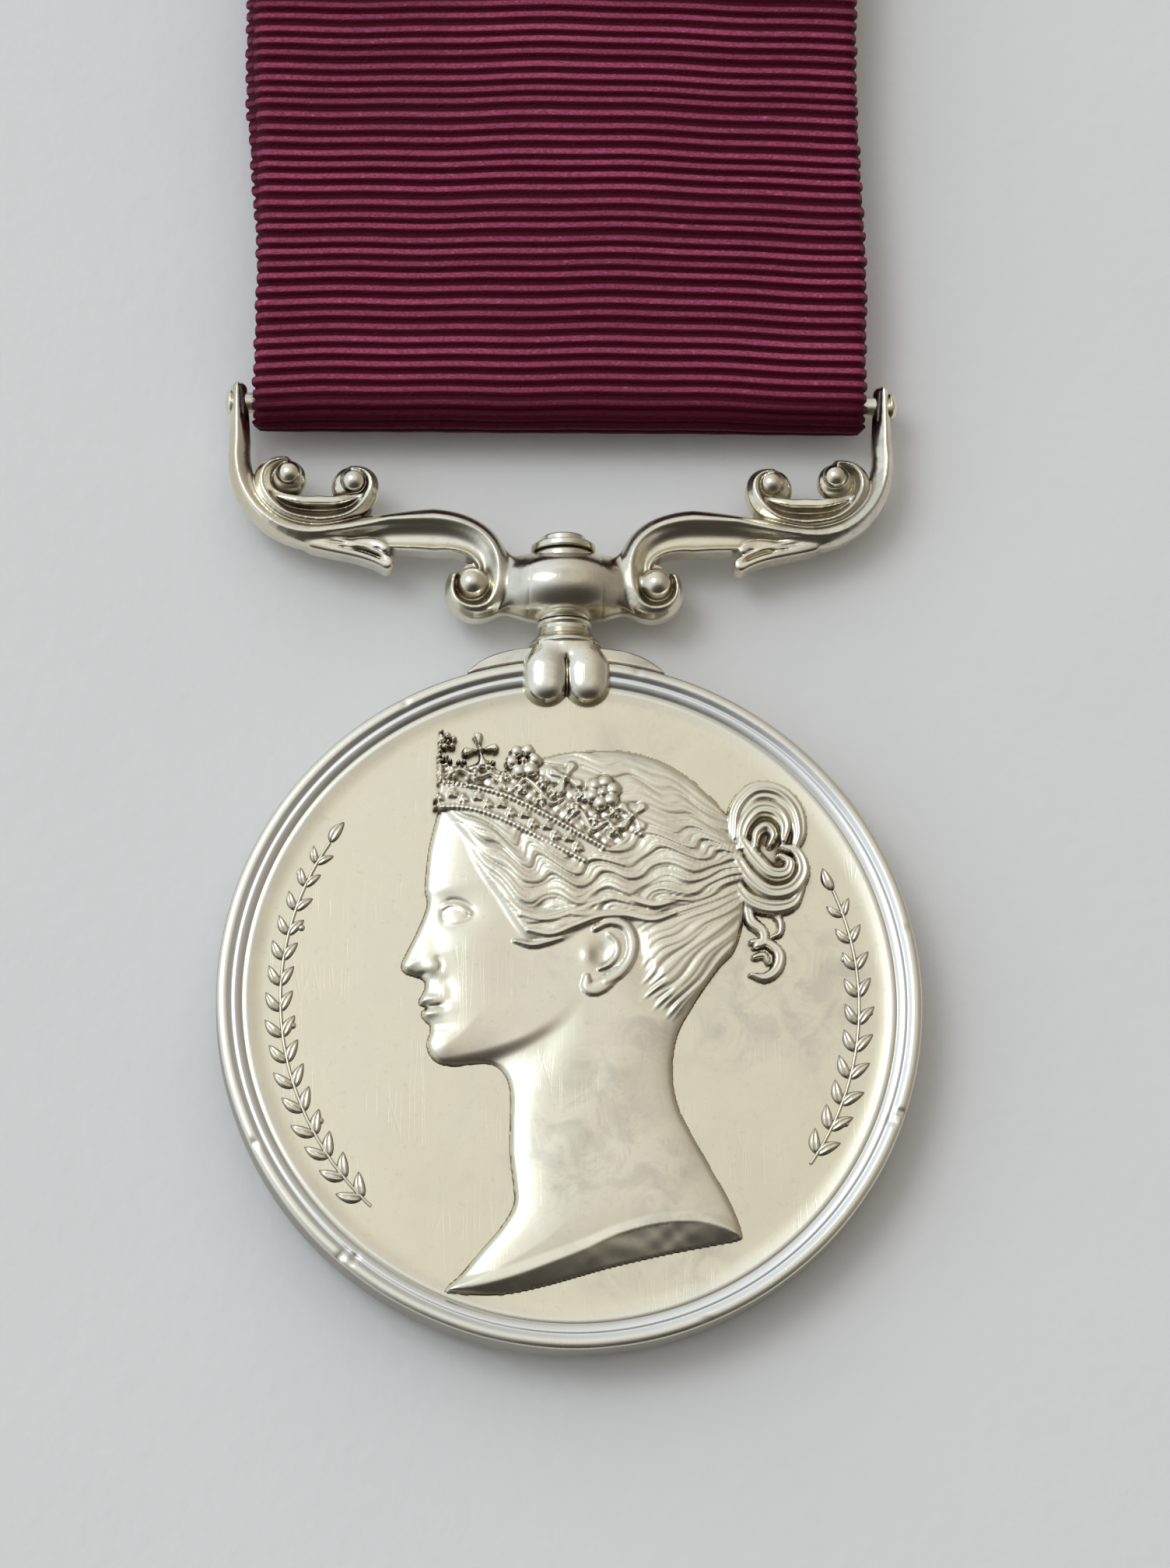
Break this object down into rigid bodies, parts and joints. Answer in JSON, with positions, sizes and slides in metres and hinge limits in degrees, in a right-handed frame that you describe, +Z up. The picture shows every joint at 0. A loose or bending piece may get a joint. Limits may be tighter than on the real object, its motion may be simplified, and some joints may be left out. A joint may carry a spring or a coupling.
{
  "type": "service medal",
  "caption": "Round silver medal with a profile head, a claw and swivel below a scroll suspender, on a ribbed crimson ribbon with a pin brooch.",
  "frame": {"origin": "under the middle of the whole medal's box, on the surface that it lies on", "axes": "+Z up, out of the obverse face; +Y along the medal, from the disc to the brooch; +X to the right, seen from the front"},
  "size_m": [0.037, 0.0914, 0.0049],
  "materials": {
    "disc_silver": "struck silver, softly polished, warm ivory toning in the field",
    "fitting_silver": "cast silver, worn bright on its edges and dark in its hollows",
    "ribbon_silk": "crimson silk with coarse cross ribs",
    "thread": "twisted sewing thread",
    "brooch_metal": "silvered brass, satin",
    "pin_steel": "drawn spring steel, polished"
  },
  "bodies": {
    "suspender": {"suspender_ball": "fitting_silver", "left_scroll": "fitting_silver", "right_scroll": "fitting_silver", "ribbon_bar": "fitting_silver"},
    "medal": {"disc": "disc_silver", "claw": "fitting_silver", "claw_shoulder": "fitting_silver", "claw_pin": "fitting_silver", "neck_collar": "fitting_silver", "swivel_pin": "fitting_silver", "swivel_cap": "fitting_silver"},
    "ribbon_and_brooch": {"ribbon": "ribbon_silk", "ribbon_stitching": "thread", "brooch_plate": "brooch_metal", "brooch_hinge_post": "brooch_metal", "brooch_hinge_rivet": "brooch_metal", "brooch_catch": "brooch_metal"},
    "pin": {"brooch_pin": "pin_steel"}
  },
  "joints": [
    {"name": "swivel", "type": "hinge", "parent": "suspender", "child": "medal", "pos_m": [0, -0.00549, 0.00245], "axis": [0, 1, 0], "continuous": true},
    {"name": "ribbon_swing", "type": "hinge", "parent": "suspender", "child": "ribbon_and_brooch", "pos_m": [0, 0.00462, 0.00245], "axis": [1, 0, 0], "range_deg": [-120, 120]},
    {"name": "brooch_pin_swing", "type": "hinge", "parent": "ribbon_and_brooch", "child": "pin", "pos_m": [-0.01707, 0.04262, 0.0011], "axis": [0, 0, 1], "range_deg": [0, 75]}
  ]
}
